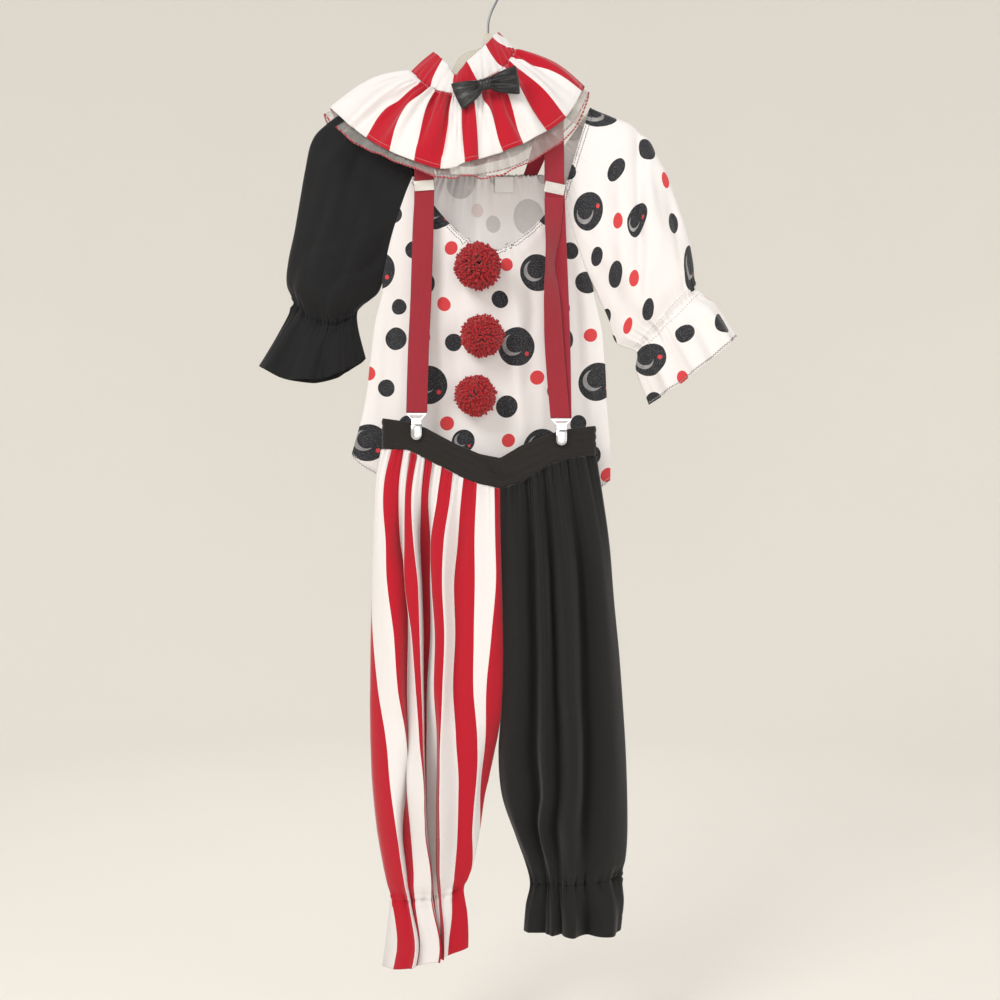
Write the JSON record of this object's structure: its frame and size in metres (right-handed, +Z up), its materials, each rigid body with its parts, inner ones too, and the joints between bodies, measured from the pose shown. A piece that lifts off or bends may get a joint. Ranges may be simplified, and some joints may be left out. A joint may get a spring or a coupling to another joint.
{
  "type": "clown costume on a clothes hanger",
  "caption": "Clown costume on a clothes hanger: striped ruff collar with a bow, dotted blouse with pom-poms, red braces, and trousers with one striped and one black leg.",
  "frame": {"origin": "inside top of the hanger's hook, where the costume hangs", "axes": "+X to the right as the costume is seen from the front, -Y towards the viewer, +Z up"},
  "size_m": [0.7156, 0.1607, 1.4765],
  "materials": {
    "clear_plastic": "clear moulded plastic",
    "steel_wire": "bright plated wire",
    "dotted_cloth": "matt white polyester knit with printed dots",
    "black_cloth": "matt black polyester knit",
    "striped_cloth": "polyester knit with red and white stripes",
    "clear_film": "crinkled clear film with a fine red overlocked edge",
    "black_satin": "glossy satin",
    "red_yarn": "cut wool yarn",
    "red_elastic": "ribbed woven elastic",
    "black_elastic": "ribbed knitted elastic",
    "clip_steel": "nickel plated steel",
    "label_tape": "bare white satin tape"
  },
  "bodies": {
    "root": {"hanger_body": "clear_plastic", "hanger_hook": "steel_wire", "top_front": "dotted_cloth", "top_back": "dotted_cloth", "sleeve_black": "black_cloth", "sleeve_dotted": "dotted_cloth", "label": "label_tape", "collar_band": "striped_cloth", "collar_ruffle": "striped_cloth", "collar_underlayer": "clear_film", "bow_left": "black_satin", "bow_right": "black_satin", "bow_knot": "black_satin", "pompom_1": "red_yarn", "pompom_2": "red_yarn", "pompom_3": "red_yarn", "strap_left": "red_elastic", "strap_right": "red_elastic", "strap_left_return": "red_elastic", "strap_right_return": "red_elastic", "strap_patch": "red_elastic", "strap_tail": "red_elastic", "slider_left": "clear_plastic", "slider_right": "clear_plastic", "clip_left_ring": "clip_steel", "clip_left_jaw": "clip_steel", "clip_left_lever": "clip_steel", "clip_right_ring": "clip_steel", "clip_right_jaw": "clip_steel", "clip_right_lever": "clip_steel", "clip_rear_ring": "clip_steel", "clip_rear_jaw": "clip_steel", "clip_rear_lever": "clip_steel", "waistband": "black_elastic", "leg_striped": "striped_cloth", "leg_black": "black_cloth"}
  },
  "joints": []
}
